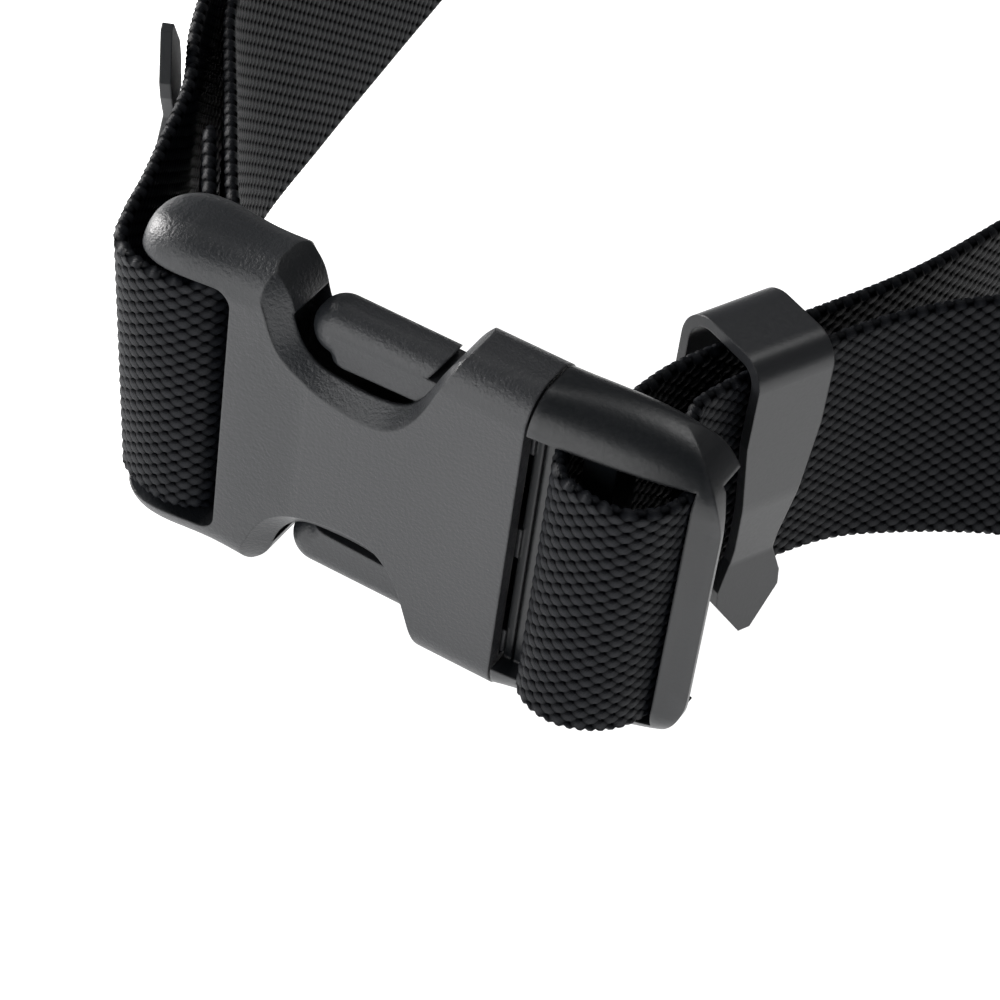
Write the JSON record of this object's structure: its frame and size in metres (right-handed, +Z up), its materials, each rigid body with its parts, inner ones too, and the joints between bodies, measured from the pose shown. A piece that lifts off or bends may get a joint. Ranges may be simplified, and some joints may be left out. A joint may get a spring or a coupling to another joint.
{
  "type": "dive weight belt",
  "caption": "Webbing dive weight belt without weights: a closed waist loop joined by a side-release buckle, with clip-on keepers that hold the webbing's doubled layers and free tail.",
  "frame": {"origin": "on the ground under the middle of the buckle's closed collar, on the flat lower edge the belt stands on", "axes": "+X along the buckle from the socket to the plug, +Y from the buckle's front face into the waist loop, +Z up across the webbing's width"},
  "size_m": [0.2332, 0.4266, 0.0635],
  "materials": {
    "buckle_plastic": "satin",
    "webbing": "coarse woven nylon",
    "keeper_plastic": "satin"
  },
  "bodies": {
    "socket_body": {"socket": "buckle_plastic", "webbing_socket_half": "webbing", "webbing_tuck": "webbing"},
    "plug_body": {"plug_frame": "buckle_plastic", "webbing_plug_half": "webbing"},
    "arm_upper_body": {"latch_arm_upper": "buckle_plastic"},
    "arm_lower_body": {"latch_arm_lower": "buckle_plastic"},
    "keeper_right_body": {"keeper_right": "keeper_plastic"},
    "keeper_left_body": {"keeper_left": "keeper_plastic"}
  },
  "joints": [
    {"name": "plug_slide", "type": "slide", "parent": "socket_body", "child": "plug_body", "axis": [1, 0, 0], "range_m": [0, 0.05], "deforming": ["latch_arm_upper", "latch_arm_lower"]},
    {"name": "arm_upper_press", "type": "hinge", "parent": "plug_body", "child": "arm_upper_body", "pos_m": [0.0049, 0, 0.05315], "axis": [0, -1, 0], "range_deg": [0, 12.5], "stiffness_Nm_per_rad": 2},
    {"name": "arm_lower_press", "type": "hinge", "parent": "plug_body", "child": "arm_lower_body", "pos_m": [0.0049, 0, 0.01035], "axis": [0, 1, 0], "range_deg": [0, 12.5], "stiffness_Nm_per_rad": 2},
    {"name": "keeper_right_slide", "type": "slide", "parent": "plug_body", "child": "keeper_right_body", "axis": [0.4194, 0.9078, 0], "range_m": [-0.003, 0.003]},
    {"name": "keeper_left_slide", "type": "slide", "parent": "socket_body", "child": "keeper_left_body", "axis": [-0.4618, 0.887, 0], "range_m": [-0.003, 0.003]}
  ]
}
